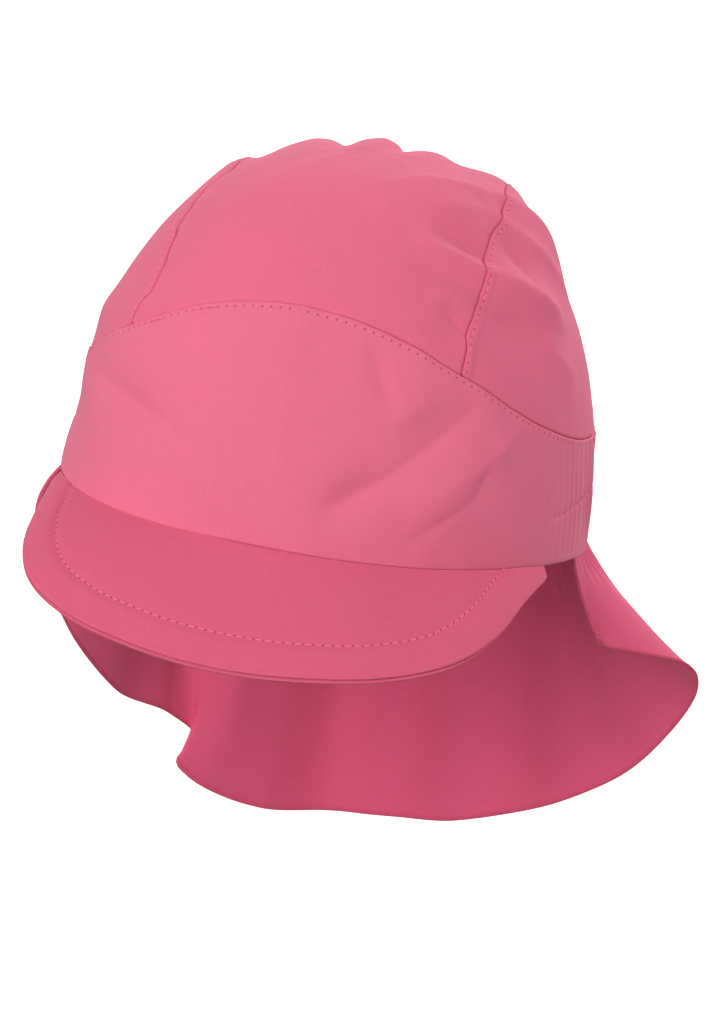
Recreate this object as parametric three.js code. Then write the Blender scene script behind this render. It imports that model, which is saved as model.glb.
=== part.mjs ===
// A child's soft sun cap with a peak and a neck flap, in the form it has when worn.
// Millimetres, +Z up, the forehead faces -Y. The origin is the middle of the head opening.

import * as THREE from 'three';

// Head form: a rounded dome over an oval rim
const HALF_WIDTH = 75;
const HALF_LENGTH_FRONT = 87;
const HALF_LENGTH_BACK = 90;
const DOME_HEIGHT = 107;
const DOME_POWER = 2.25;

// Cloth thicknesses and the clearances between neighbouring pieces
const CROWN_CLOTH = 1.2;
const BAND_PROUD = 0.4;
const PEAK_CLOTH = 1.2;
const PEAK_LAYER_GAP = 0.3;
const FLAP_CLOTH = 1.2;
const HEM_CLOTH = 2.2;
const HEM_WIDTH = 2.5;
const HEM_STEP = 0.5;
const SEAM_GAP = 0.4;
const PANEL_TIP_WIDTH = 0.9;
const PEAK_DROP = 1.8;
const FLAP_DROP = 0.9;

// Where the pieces end round the head, as plan angles from the forehead
const SIDE_SEAM_ANGLE = 96;
const PEAK_END_ANGLE = 65;
const FLAP_START_ANGLE = 84;

// Band edges: plan angle from the forehead, height of the rim, height of the upper edge
const BAND_ROWS = [
  { angle: -20, rim: 12.8, top: 71.8 },
  { angle: 0, rim: 14.0, top: 75.5 },
  { angle: 20, rim: 12.8, top: 71.8 },
  { angle: 40, rim: 10.9, top: 60.8 },
  { angle: 60, rim: 8.6, top: 47.8 },
  { angle: 80, rim: 5.4, top: 39.6 },
  { angle: 100, rim: 1.6, top: 35.6 },
  { angle: 125, rim: 0, top: 33.5 },
  { angle: 155, rim: 0, top: 33.0 },
  { angle: 180, rim: 0, top: 33.0 },
  { angle: 205, rim: 0, top: 33.0 },
];

// Crown seams: angle from the forehead over the top, sideways angle of the left and the right seam
const SEAM_ROWS = [
  { over: 25, left: 35.0, right: 30.0 },
  { over: 48, left: 32.2, right: 28.0 },
  { over: 57, left: 28.4, right: 26.9 },
  { over: 66, left: 26.4, right: 25.6 },
  { over: 78, left: 24.2, right: 23.0 },
  { over: 90, left: 21.5, right: 20.2 },
  { over: 105, left: 19.5, right: 18.5 },
  { over: 122, left: 20.5, right: 20.0 },
  { over: 138, left: 23.0, right: 23.0 },
  { over: 158, left: 28.0, right: 28.0 },
];

// Peak outline: share of the way from the middle to the end, and its place there
const PEAK_ROWS = [
  { share: -0.25, x: -23.8, y: -111.2, z: -11.0 },
  { share: 0, x: 0, y: -112.8, z: -12.5 },
  { share: 0.25, x: 23.8, y: -111.2, z: -11.0 },
  { share: 0.45, x: 44.1, y: -102.7, z: -9.1 },
  { share: 0.62, x: 58.5, y: -89.7, z: -5.9 },
  { share: 0.78, x: 65.8, y: -72.3, z: -1.4 },
  { share: 0.9, x: 68.5, y: -52.0, z: 3.0 },
  { share: 1.0, x: 70.6, y: -34.2, z: 5.2 },
];
const PEAK_BELLY_SHARE = 0.036;

// Neck flap hem: plan angle where the cloth leaves the rim, and the place of the hem below it
const HEM_ROWS = [
  { angle: 84, x: 83.4, y: 1.0, z: -19.8 },
  { angle: 87, x: 84.2, y: 4.5, z: -22.8 },
  { angle: 92, x: 93.8, y: 13.7, z: -26.0 },
  { angle: 101, x: 105.7, y: 33.8, z: -33.2 },
  { angle: 110, x: 107.9, y: 52.6, z: -45.4 },
  { angle: 125, x: 96.9, y: 67.0, z: -71.2 },
  { angle: 145, x: 69.3, y: 83.7, z: -98.7 },
  { angle: 163, x: 35.7, y: 107.4, z: -121 },
  { angle: 180, x: 1.2, y: 116.2, z: -129.5 },
  { angle: 194, x: -30.7, y: 105.0, z: -129.4 },
  { angle: 209, x: -48.5, y: 99.5, z: -114.5 },
  { angle: 223, x: -58.8, y: 93.2, z: -101.5 },
  { angle: 238, x: -75.7, y: 76.0, z: -90.1 },
  { angle: 250, x: -82.0, y: 55.1, z: -70.6 },
  { angle: 262, x: -89.5, y: 35.0, z: -45.0 },
  { angle: 271, x: -86.5, y: 7.5, z: -28.7 },
  { angle: 276, x: -84.0, y: 1.5, z: -18.5 },
];

// Hanging folds of the flap: plan angle at the rim, half width in degrees, outward swing where deepest.
// A fold opens slowly below the rim, is deepest past the middle and closes a little towards the hem.
const FLAP_FOLD_REACH = 0.72;
const FLAP_FOLD_ROWS = [
  { angle: 128, width: 8, swing: -2 },
  { angle: 155, width: 7, swing: 2.5 },
  { angle: 164, width: 6, swing: -2.5 },
  { angle: 174, width: 6, swing: 3 },
  { angle: 181, width: 5, swing: -2.5 },
  { angle: 188, width: 5.5, swing: 6 },
  { angle: 199, width: 6, swing: -5 },
  { angle: 218, width: 7, swing: 5 },
  { angle: 236, width: 8, swing: -3 },
];

// The hem turns back on itself in one place: plan angle at the rim and the hem's shift there.
// The turn is in the lowest part of the flap and dies out quickly upwards.
const HEM_TURN_OPENING = 3;
const HEM_TURN_ROWS = [
  { angle: 194, x: 0, y: 0, z: 0 },
  { angle: 203, x: -8.7, y: -6.2, z: 1.4 },
  { angle: 209, x: -8.3, y: -5.9, z: 3.4 },
  { angle: 215, x: 3.6, y: 1.3, z: -1.5 },
  { angle: 223, x: 0, y: 0, z: 0 },
];

// Folds of the crown and band: sideways and over angles of both ends, half width, rise off the form
const FOLD_ROWS = [
  { side: 15, over: 66, toSide: 26, toOver: 72, width: 6, rise: -1.4 },
  { side: 20, over: 90, toSide: 36, toOver: 108, width: 6, rise: 1.2 },
  { side: 23, over: 68, toSide: 43, toOver: 88, width: 6, rise: 1.8 },
  { side: 5, over: 66, toSide: 20, toOver: 96, width: 8, rise: 1.2 },
  { side: 20, over: 84, toSide: 20, toOver: 128, width: 15, rise: 4.0 },
  { side: 10, over: 16, toSide: 20, toOver: 27, width: 5, rise: -1.4 },
  { side: 16, over: 25, toSide: 34, toOver: 47, width: 7, rise: -1.8 },
  { side: 26, over: 17, toSide: 40, toOver: 29, width: 7, rise: 1.4 },
  { side: 12, over: 46, toSide: 21, toOver: 37, width: 5, rise: -1.0 },
  { side: -50, over: 50, toSide: -9, toOver: 22, width: 4, rise: -1.0 },
  { side: -72, over: 105, toSide: -42, toOver: 23, width: 9, rise: -1.9 },
  { side: -58, over: 106, toSide: -36, toOver: 52, width: 6, rise: 1.2 },
  { side: -22, over: 80, toSide: -22, toOver: 130, width: 7, rise: 1.6 },
  { side: -17, over: 84, toSide: -17, toOver: 140, width: 4.5, rise: -2.2 },
  { side: -10, over: 86, toSide: -10, toOver: 142, width: 5.5, rise: 1.8 },
  { side: -5.5, over: 86, toSide: -5.5, toOver: 142, width: 4, rise: -2.6 },
  { side: -1, over: 86, toSide: -1, toOver: 142, width: 5.5, rise: 2.6 },
  { side: 2, over: 86, toSide: 2, toOver: 142, width: 3.5, rise: -2.2 },
  { side: 6.5, over: 88, toSide: 6.5, toOver: 142, width: 5, rise: 1.8 },
];

// Gathers drawn in by the elastic: how many, how deep, where they begin, and the elastic's height
const BAND_GATHERS = 28;
const GATHER_DEPTH = 0.8;
const GATHER_START_ANGLE = 92;
const GATHER_FULL_ANGLE = 112;
const ELASTIC_HEIGHT = 17;
const ELASTIC_REACH = 13;
const ELASTIC_PULL = 1.3;
const FLAP_GATHERS = 18;
const GATHER_FADE = 27 / 4;

// Surface divisions along and across each piece
const CROWN_STEPS = [20, 20];
const SIDE_STEPS = [22, 7];
const FRONT_BAND_STEPS = [48, 8];
const BACK_BAND_STEPS = [BAND_GATHERS * 4, 3];
const PEAK_STEPS = [30, 5];
const FLAP_STEPS = [90, 8];

const PINK = 0xe8708c;
const DEEP_PINK = 0xdd6480;

const radians = THREE.MathUtils.degToRad;
const degrees = THREE.MathUtils.radToDeg;
const mix = THREE.MathUtils.lerp;

// Smooth curve through the rows of a table, read at one value of its key column
function smoothColumn(rows, key, column, at) {
  const last = rows.length - 1;
  const slope = (i) => (rows[i + 1][column] - rows[i][column]) / (rows[i + 1][key] - rows[i][key]);
  const tangent = (i) => {
    if (i === 0) return slope(0);
    if (i === last) return slope(last - 1);
    const before = rows[i][key] - rows[i - 1][key];
    const after = rows[i + 1][key] - rows[i][key];
    return (slope(i - 1) * after + slope(i) * before) / (before + after);
  };
  let i = 0;
  while (i < last - 1 && at > rows[i + 1][key]) i += 1;
  const span = rows[i + 1][key] - rows[i][key];
  const t = (at - rows[i][key]) / span;
  const t2 = t * t;
  const t3 = t2 * t;
  return (2 * t3 - 3 * t2 + 1) * rows[i][column] + (t3 - 2 * t2 + t) * span * tangent(i)
    + (3 * t2 - 2 * t3) * rows[i + 1][column] + (t3 - t2) * span * tangent(i + 1);
}

const awayFromForehead = (angle) => Math.abs(((angle + 540) % 360) - 180);
const rimHeight = (angle) => smoothColumn(BAND_ROWS, 'angle', 'rim', awayFromForehead(angle));
const bandTop = (angle) => smoothColumn(BAND_ROWS, 'angle', 'top', awayFromForehead(angle));

// The head form

const halfLength = (y) => (y < 0 ? HALF_LENGTH_FRONT : HALF_LENGTH_BACK);

function formRadius(direction) {
  const plan = Math.hypot(direction.x / HALF_WIDTH, direction.y / halfLength(direction.y));
  const rise = Math.max(direction.z, 0) / DOME_HEIGHT;
  return (plan ** DOME_POWER + rise ** DOME_POWER) ** (-1 / DOME_POWER);
}

const onForm = (direction) => direction.clone().multiplyScalar(formRadius(direction));

function formDirection(side, over) {
  const a = radians(side);
  const b = radians(over);
  return new THREE.Vector3(Math.sin(a), -Math.cos(a) * Math.cos(b), Math.cos(a) * Math.sin(b));
}

function onWall(angle, height) {
  const x = Math.sin(radians(angle));
  const y = -Math.cos(radians(angle));
  const reach = 1 / Math.hypot(x / HALF_WIDTH, y / halfLength(y));
  const draw = (1 - (Math.max(height, 0) / DOME_HEIGHT) ** DOME_POWER) ** (1 / DOME_POWER);
  return new THREE.Vector3(x * reach * draw, y * reach * draw, height);
}

function formNormal(point) {
  const length = halfLength(point.y);
  const plan = Math.hypot(point.x / HALF_WIDTH, point.y / length) ** (DOME_POWER - 2);
  const rise = Math.max(point.z, 0) ** (DOME_POWER - 1) / DOME_HEIGHT ** DOME_POWER;
  return new THREE.Vector3(plan * point.x / HALF_WIDTH ** 2, plan * point.y / length ** 2, rise).normalize();
}

const planAngle = (point) => degrees(Math.atan2(point.x, -point.y));

// How far the soft folds lift a point of the form, worked out along each fold's great circle
const FOLDS = FOLD_ROWS.map((row) => {
  const start = formDirection(row.side, row.over);
  const end = formDirection(row.toSide, row.toOver);
  const across = start.clone().cross(end).normalize();
  return { ...row, start, across, ahead: across.clone().cross(start), turn: start.angleTo(end) };
});

function foldRise(point) {
  return FOLDS.reduce((sum, fold) => {
    const along = Math.atan2(point.dot(fold.ahead), point.dot(fold.start)) / fold.turn;
    if (along <= 0 || along >= 1) return sum;
    const offset = point.dot(fold.across) / fold.width;
    return sum + fold.rise * Math.sin(Math.PI * along) * Math.exp(-offset * offset);
  }, 0);
}

// How far the elastic and its gathers move the back band
function gatherRise(angle, height) {
  const away = awayFromForehead(angle);
  const drawn = THREE.MathUtils.smoothstep(away, GATHER_START_ANGLE, GATHER_FULL_ANGLE);
  const near = Math.exp(-(((height - ELASTIC_HEIGHT) / ELASTIC_REACH) ** 2));
  const arc = 360 - 2 * SIDE_SEAM_ANGLE;
  const ripple = Math.cos(2 * Math.PI * BAND_GATHERS * (angle - SIDE_SEAM_ANGLE) / arc);
  return drawn * near * (GATHER_DEPTH * ripple - ELASTIC_PULL);
}

// A closed wall between two faces of the same grid: along runs 0..columns, across runs 0..rows
function wallGeometry([columns, rows], outerAt, innerAt) {
  const positions = [];
  const triangles = [];
  const stride = rows + 1;
  const face = (columns + 1) * stride;
  [outerAt, innerAt].forEach((pointAt) => {
    for (let i = 0; i <= columns; i += 1) {
      for (let j = 0; j <= rows; j += 1) positions.push(...pointAt(i, j).toArray());
    }
  });
  const outer = (i, j) => i * stride + j;
  const inner = (i, j) => face + outer(i, j);
  const quad = (a, b, c, d) => triangles.push(a, b, c, a, c, d);
  for (let i = 0; i < columns; i += 1) {
    for (let j = 0; j < rows; j += 1) {
      quad(outer(i, j), outer(i + 1, j), outer(i + 1, j + 1), outer(i, j + 1));
      quad(inner(i, j), inner(i, j + 1), inner(i + 1, j + 1), inner(i + 1, j));
    }
    quad(outer(i, 0), inner(i, 0), inner(i + 1, 0), outer(i + 1, 0));
    quad(outer(i, rows), outer(i + 1, rows), inner(i + 1, rows), inner(i, rows));
  }
  for (let j = 0; j < rows; j += 1) {
    quad(outer(0, j), outer(0, j + 1), inner(0, j + 1), inner(0, j));
    quad(outer(columns, j), inner(columns, j), inner(columns, j + 1), outer(columns, j + 1));
  }
  const geometry = new THREE.BufferGeometry();
  geometry.setAttribute('position', new THREE.Float32BufferAttribute(positions, 3));
  geometry.setIndex(triangles);
  geometry.computeVertexNormals();
  return geometry;
}

// A wall that lies on the head form, given the form point of each grid corner
function formWall(steps, pointAt, proud, thickness, extraRise = () => 0) {
  const lifted = (depth) => (i, j) => {
    const point = pointAt(i, j);
    const rise = foldRise(point) + extraRise(point) + proud - depth;
    return point.clone().addScaledVector(formNormal(point), rise);
  };
  return wallGeometry(steps, lifted(0), lifted(thickness + proud));
}

// A wall on a free surface, given its middle surface over shares 0..1 and the offsets of its two faces
const SHARE_STEP = 1e-3;

function freeWall([columns, rows], surface, shareAcross, topFace, bottomFace) {
  const step = SHARE_STEP;
  const lifted = (face) => (i, j) => {
    const u = i / columns;
    const v = shareAcross(u, j);
    const alongCloth = surface(u + step, v).sub(surface(u - step, v));
    const towardRim = surface(u, v - step).sub(surface(u, v + step));
    const normal = alongCloth.cross(towardRim).normalize();
    return surface(u, v).addScaledVector(normal, face(j));
  };
  return wallGeometry([columns, rows], lifted(topFace), lifted(bottomFace));
}

// Crown

const seamSide = (name, over) => smoothColumn(SEAM_ROWS, 'over', name, over);

// Over angles low on the forehead, at the top and low at the back, between which the crown meets the band
const LOW_FRONT_OVER = 20;
const TOP_OVER = 90;
const LOW_BACK_OVER = 160;
const OVER_PRECISION = 1e-6;

// Over angle at which a line on the crown meets the band, found by halving
function bandMeeting(sideAt, front) {
  let below = front ? LOW_FRONT_OVER : LOW_BACK_OVER;
  let above = TOP_OVER;
  while (Math.abs(above - below) > OVER_PRECISION) {
    const middle = (below + above) / 2;
    const point = onForm(formDirection(sideAt(middle), middle));
    if (point.z < bandTop(planAngle(point)) + SEAM_GAP / 2) below = middle;
    else above = middle;
  }
  return above;
}

const seamTrim = degrees(SEAM_GAP / 2 / DOME_HEIGHT);

function crownCenter() {
  const [columns, rows] = CROWN_STEPS;
  const sideAt = (share) => (over) => mix(
    seamTrim - seamSide('left', over),
    seamSide('right', over) - seamTrim,
    share,
  );
  const ends = Array.from({ length: columns + 1 }, (_, i) => {
    const side = sideAt(i / columns);
    return { side, front: bandMeeting(side, true), back: bandMeeting(side, false) };
  });
  const pointAt = (i, j) => {
    const over = mix(ends[i].front, ends[i].back, j / rows);
    return onForm(formDirection(ends[i].side(over), over));
  };
  return formWall(CROWN_STEPS, pointAt, 0, CROWN_CLOTH);
}

// A side panel runs from its front tip to its back tip, and up from the band to the seam
function crownSide(name) {
  const [columns, rows] = SIDE_STEPS;
  const sign = name === 'left' ? -1 : 1;
  const side = (over) => sign * (seamSide(name, over) + seamTrim);
  const front = bandMeeting(side, true);
  const back = bandMeeting(side, false);
  const tipAngle = (over) => planAngle(onForm(formDirection(side(over), over)));
  const tipInset = sign * degrees(PANEL_TIP_WIDTH / HALF_WIDTH);
  const startAngle = tipAngle(front) + tipInset;
  const endAngle = tipAngle(back) - tipInset;
  const tipOver = degrees(PANEL_TIP_WIDTH / DOME_HEIGHT);
  const pointAt = (i, j) => {
    const share = i / columns;
    const angle = mix(startAngle, endAngle, share);
    const over = mix(front + tipOver, back - tipOver, share);
    const low = onWall(angle, bandTop(angle) + SEAM_GAP / 2).normalize();
    const high = formDirection(side(over), over);
    const rise = sign > 0 ? j / rows : 1 - j / rows;
    return onForm(low.lerp(high, rise).normalize());
  };
  return formWall(SIDE_STEPS, pointAt, 0, CROWN_CLOTH);
}

// Bands

function band(steps, startAngle, endAngle) {
  const [columns, rows] = steps;
  const pointAt = (i, j) => {
    const angle = mix(startAngle, endAngle, i / columns);
    return onWall(angle, mix(rimHeight(angle), bandTop(angle) - SEAM_GAP / 2, j / rows));
  };
  const gathered = (point) => gatherRise((planAngle(point) + 360) % 360, point.z);
  return formWall(steps, pointAt, BAND_PROUD, CROWN_CLOTH, gathered);
}

const seamTurn = degrees(SEAM_GAP / 2 / HALF_WIDTH);

const frontBand = () => band(FRONT_BAND_STEPS, seamTurn - SIDE_SEAM_ANGLE, SIDE_SEAM_ANGLE - seamTurn);
const backBand = () => band(BACK_BAND_STEPS, SIDE_SEAM_ANGLE + seamTurn, 360 - SIDE_SEAM_ANGLE - seamTurn);

// Peak

function peakSurface(u, v) {
  const share = 2 * u - 1;
  const angle = share * PEAK_END_ANGLE;
  const read = (column) => smoothColumn(PEAK_ROWS, 'share', column, Math.abs(share));
  const edge = new THREE.Vector3(Math.sign(share) * read('x'), read('y'), read('z'));
  const rim = onWall(angle, rimHeight(angle) - PEAK_DROP);
  const belly = PEAK_BELLY_SHARE * rim.distanceTo(edge) * 4 * v * (1 - v);
  return rim.lerp(edge, v).add(new THREE.Vector3(0, 0, belly));
}

function peakLayer(topFace) {
  const rows = PEAK_STEPS[1];
  const shareAcross = (u, j) => 1 - j / rows;
  return freeWall(PEAK_STEPS, peakSurface, shareAcross, () => topFace, () => topFace - PEAK_CLOTH);
}

// Neck flap

function hemTurn(angle) {
  const first = HEM_TURN_ROWS[0].angle;
  const last = HEM_TURN_ROWS.at(-1).angle;
  const at = THREE.MathUtils.clamp(angle, first, last);
  return new THREE.Vector3(...['x', 'y', 'z'].map((column) => smoothColumn(HEM_TURN_ROWS, 'angle', column, at)));
}

function flapSurface(u, v) {
  const angle = mix(FLAP_START_ANGLE, 360 - FLAP_START_ANGLE, u);
  const read = (column) => smoothColumn(HEM_ROWS, 'angle', column, angle);
  const rim = onWall(angle, rimHeight(angle) - FLAP_DROP);
  const outward = new THREE.Vector3(Math.sin(radians(angle)), -Math.cos(radians(angle)), 0);
  const swing = FLAP_FOLD_ROWS.reduce((sum, fold) => {
    const offset = (angle - fold.angle) / fold.width;
    return sum + fold.swing * Math.exp(-offset * offset);
  }, 0);
  const drawn = THREE.MathUtils.smoothstep(awayFromForehead(angle), GATHER_START_ANGLE, GATHER_FULL_ANGLE);
  const fade = GATHER_FADE * v * (1 - v) ** 2;
  const ripple = GATHER_DEPTH * drawn * Math.cos(2 * Math.PI * FLAP_GATHERS * u) * fade;
  const depth = swing * Math.sin(Math.PI * FLAP_FOLD_REACH * v) ** 2;
  const point = rim.lerp(new THREE.Vector3(read('x'), read('y'), read('z')), v);
  return point.addScaledVector(outward, depth + ripple).addScaledVector(hemTurn(angle), v ** HEM_TURN_OPENING);
}

function neckFlap() {
  const rows = FLAP_STEPS[1];
  const drop = (u) => flapSurface(u, 0).distanceTo(flapSurface(u, 1));
  const hemStart = (u) => 1 - HEM_WIDTH / drop(u);
  const shareAcross = (u, j) => {
    if (j === 0) return 1;
    if (j === 1) return hemStart(u) + HEM_STEP / drop(u);
    return hemStart(u) * (rows - j) / (rows - 2);
  };
  const half = (j) => (j < 2 ? HEM_CLOTH : FLAP_CLOTH) / 2;
  return freeWall(FLAP_STEPS, flapSurface, shareAcross, half, (j) => -half(j));
}

// Assembly

function piece(name, geometry, color) {
  const material = new THREE.MeshStandardMaterial({ color, roughness: 0.9, metalness: 0 });
  const mesh = new THREE.Mesh(geometry, material);
  mesh.name = name;
  return mesh;
}

const cap = new THREE.Group();
cap.add(
  piece('crown_center', crownCenter(), PINK),
  piece('crown_left', crownSide('left'), PINK),
  piece('crown_right', crownSide('right'), PINK),
  piece('front_band', frontBand(), PINK),
  piece('back_band', backBand(), DEEP_PINK),
  piece('peak_top', peakLayer(PEAK_CLOTH + PEAK_LAYER_GAP / 2), PINK),
  piece('peak_under', peakLayer(-PEAK_LAYER_GAP / 2), DEEP_PINK),
  piece('neck_flap', neckFlap(), DEEP_PINK),
);

export default cap;
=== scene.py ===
import math

import bpy
import numpy as np
from mathutils import Matrix, Vector


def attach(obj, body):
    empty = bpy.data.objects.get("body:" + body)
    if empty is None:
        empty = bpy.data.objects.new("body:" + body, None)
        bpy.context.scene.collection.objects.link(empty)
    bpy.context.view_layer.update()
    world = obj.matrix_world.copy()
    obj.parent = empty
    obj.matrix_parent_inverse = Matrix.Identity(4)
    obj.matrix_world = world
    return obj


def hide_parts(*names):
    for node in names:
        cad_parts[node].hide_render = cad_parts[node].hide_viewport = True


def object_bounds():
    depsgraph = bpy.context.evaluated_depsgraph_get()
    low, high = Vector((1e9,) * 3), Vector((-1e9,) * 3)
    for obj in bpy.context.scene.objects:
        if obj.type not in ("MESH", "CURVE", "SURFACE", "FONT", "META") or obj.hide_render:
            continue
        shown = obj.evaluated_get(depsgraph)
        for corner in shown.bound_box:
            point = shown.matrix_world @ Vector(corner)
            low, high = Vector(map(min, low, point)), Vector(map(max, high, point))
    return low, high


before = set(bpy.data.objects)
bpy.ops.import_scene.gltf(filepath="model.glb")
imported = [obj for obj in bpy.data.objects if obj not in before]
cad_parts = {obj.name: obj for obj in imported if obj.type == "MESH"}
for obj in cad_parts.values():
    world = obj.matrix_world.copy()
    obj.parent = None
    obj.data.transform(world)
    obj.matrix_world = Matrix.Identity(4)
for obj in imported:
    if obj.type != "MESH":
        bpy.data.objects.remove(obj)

SOLID_BOX = [list(corner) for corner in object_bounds()]
MM = 0.001

# Head form in millimetres: a rounded dome over an oval rim
HALF_WIDTH = 75.0
HALF_LENGTH_FRONT = 87.0
HALF_LENGTH_BACK = 90.0
DOME_HEIGHT = 107.0
DOME_POWER = 2.25

# Cloth thicknesses and clearances in millimetres
CROWN_CLOTH = 1.2
BAND_PROUD = 0.4
PEAK_CLOTH = 0.7
PEAK_LAYER_GAP = 0.1
FLAP_HALF_CLOTH = 0.4
SEAM_GAP = 0.04
SEAM_TRIM = math.degrees(SEAM_GAP / 2 / DOME_HEIGHT)
SEAM_ALLOWANCE_RISE = 0.3

# Where peak and flap are sewn into the band: below or above its rim, and in from its outer face
PEAK_DROP = 0.3
PEAK_TUCK = 0.6
FLAP_RISE = 0.6
FLAP_TUCK = 1.05

# The under layer of the peak reaches a little past the top one, whose edge stands clear of it
PEAK_OVERHANG = 0.8
PEAK_LIP = 0.4

# Where the pieces end round the head, as plan angles from the forehead
SIDE_SEAM_ANGLE = 96.0
SIDE_SEAM_TRIM = 0.1
PEAK_END_ANGLE = 65.0
FLAP_START_ANGLE = 84.0

# Band edges: plan angle from the forehead, height of the rim, height of the upper edge
BAND_ROWS = [
    (-20, 12.8, 71.8),
    (0, 14.0, 75.5),
    (20, 12.8, 71.8),
    (40, 10.9, 60.8),
    (60, 8.6, 47.8),
    (80, 5.4, 39.6),
    (100, 1.6, 35.6),
    (125, 0, 33.5),
    (155, 0, 33.0),
    (180, 0, 33.0),
    (205, 0, 33.0),
]

# Crown seams: angle from the forehead over the top, sideways angle of the seam there.
# The thread draws the cloth up, so each seam runs in short straight pieces with kinks between them.
LEFT_SEAM_ROWS = [
    (25, 35.0),
    (48, 32.8),
    (51, 32.6),
    (53, 31.5),
    (54.4, 29.2),
    (57.5, 28.2),
    (59.6, 27.4),
    (64, 27.1),
    (66, 26.8),
    (69, 27.2),
    (72.2, 26.8),
    (74, 26.1),
    (77.3, 25.8),
    (80.3, 25.0),
    (83.5, 21.6),
    (87, 20.8),
    (93, 21.0),
    (105, 19.5),
    (122, 20.5),
    (138, 23.0),
    (158, 28.0),
]
RIGHT_SEAM_ROWS = [
    (25, 30.0),
    (48.8, 27.5),
    (53.2, 26.9),
    (55.4, 26.0),
    (59.3, 25.8),
    (63.8, 25.7),
    (67, 25.1),
    (69.4, 24.5),
    (70.2, 23.9),
    (75, 23.3),
    (79.3, 22.5),
    (84.9, 22.4),
    (86, 21.8),
    (91.2, 20.7),
    (92.1, 20.1),
    (97, 19.4),
    (103.5, 18.2),
    (122, 20.0),
    (138, 23.0),
    (158, 28.0),
]

# Peak outline: share of the way from the middle to the end, then x, y and z there
PEAK_ROWS = [
    (-0.25, -23.8, -111.2, -11.0),
    (0, 0, -112.8, -12.5),
    (0.25, 23.8, -111.2, -11.0),
    (0.45, 44.1, -102.7, -9.1),
    (0.62, 58.5, -89.7, -5.9),
    (0.78, 65.8, -72.3, -1.4),
    (0.9, 68.5, -52.0, 3.0),
    (1.0, 70.6, -34.2, 5.2),
]
PEAK_BELLY_SHARE = 0.036

# Neck flap hem: plan angle where the cloth leaves the rim, then x, y and z of the hem below it
HEM_ROWS = [
    (84, 83.4, 1.0, -19.8),
    (87, 84.2, 4.5, -22.8),
    (92, 93.8, 13.7, -26.0),
    (101, 105.7, 33.8, -33.2),
    (110, 107.9, 52.6, -45.4),
    (125, 97.6, 67.0, -71.8),
    (145, 69.9, 83.7, -99.7),
    (163, 35.7, 107.4, -121.3),
    (180, 1.2, 116.2, -130.2),
    (194, -30.7, 105.0, -130.4),
    (209, -48.5, 99.5, -114.5),
    (223, -58.8, 93.2, -101.5),
    (238, -75.7, 76.0, -90.1),
    (250, -82.8, 55.1, -71.2),
    (262, -89.5, 35.0, -45.0),
    (271, -86.5, 7.5, -28.7),
    (276, -84.0, 1.5, -18.5),
]

# Hanging folds of the flap: plan angle at the rim, half width in degrees, outward swing where deepest.
# A fold opens slowly below the rim, is deepest past the middle and closes a little towards the hem.
FLAP_FOLD_REACH = 0.72
FLAP_FOLD_ROWS = [
    (128, 8, -2),
    (153, 7, 3),
    (164, 6, -3.5),
    (174, 5, 2),
    (185, 5.5, 6),
    (202, 6, -3.2),
    (219, 6, 4.5),
    (240, 9, -4.5),
]

# Bow of the flap between rim and hem: plan angle at the rim, outward bow half way down
FLAP_BOW_ROWS = [
    (84, -1.0),
    (95, -2.4),
    (112, -2.0),
    (135, 0),
    (225, 0),
    (250, 0.5),
    (266, 2.0),
    (276, 3.2),
]

# The hem turns back on itself in one place: plan angle at the rim and the hem's shift there in x, y and z.
# The turn is in the lowest part of the flap and dies out quickly upwards.
HEM_TURN_OPENING = 7
HEM_TURN_ROWS = [
    (194, 0, 0, 0),
    (203, -9.2, -6.4, 0.7),
    (209, -6.4, -7.1, -1.8),
    (215, 3.6, 1.1, -2.3),
    (223, 0, 0, 0),
]

# Folds of the crown and band: sideways and over angles of both ends, half width, rise off the form
FOLD_ROWS = [
    (14, 71, 27, 75, 6, -1.4),
    (20, 90, 36, 108, 6, 1.2),
    (23, 68, 43, 88, 6, 1.8),
    (5, 66, 20, 96, 8, 1.2),
    (20, 84, 20, 128, 15, 3.3),
    (16, 94, 17, 118, 8, 1.8),
    (10, 16, 20, 27, 5, -1.4),
    (16, 25, 34, 47, 7, -1.8),
    (26, 17, 40, 29, 7, 1.4),
    (12, 46, 21, 37, 5, -1.0),
    (-50, 50, -9, 22, 4, -1.0),
    (-72, 105, -42, 23, 9, -1.9),
    (-58, 106, -36, 52, 6, 1.2),
    (-22, 80, -22, 130, 7, 1.6),
    (-17, 84, -17, 140, 4.5, -2.2),
    (-10, 86, -10, 142, 5.5, 1.8),
    (-5.5, 86, -5.5, 142, 4, -2.6),
    (-1, 86, -1, 142, 5.5, 2.6),
    (2, 86, 2, 142, 3.5, -2.2),
    (6.5, 88, 6.5, 142, 5, 1.8),
]

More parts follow.
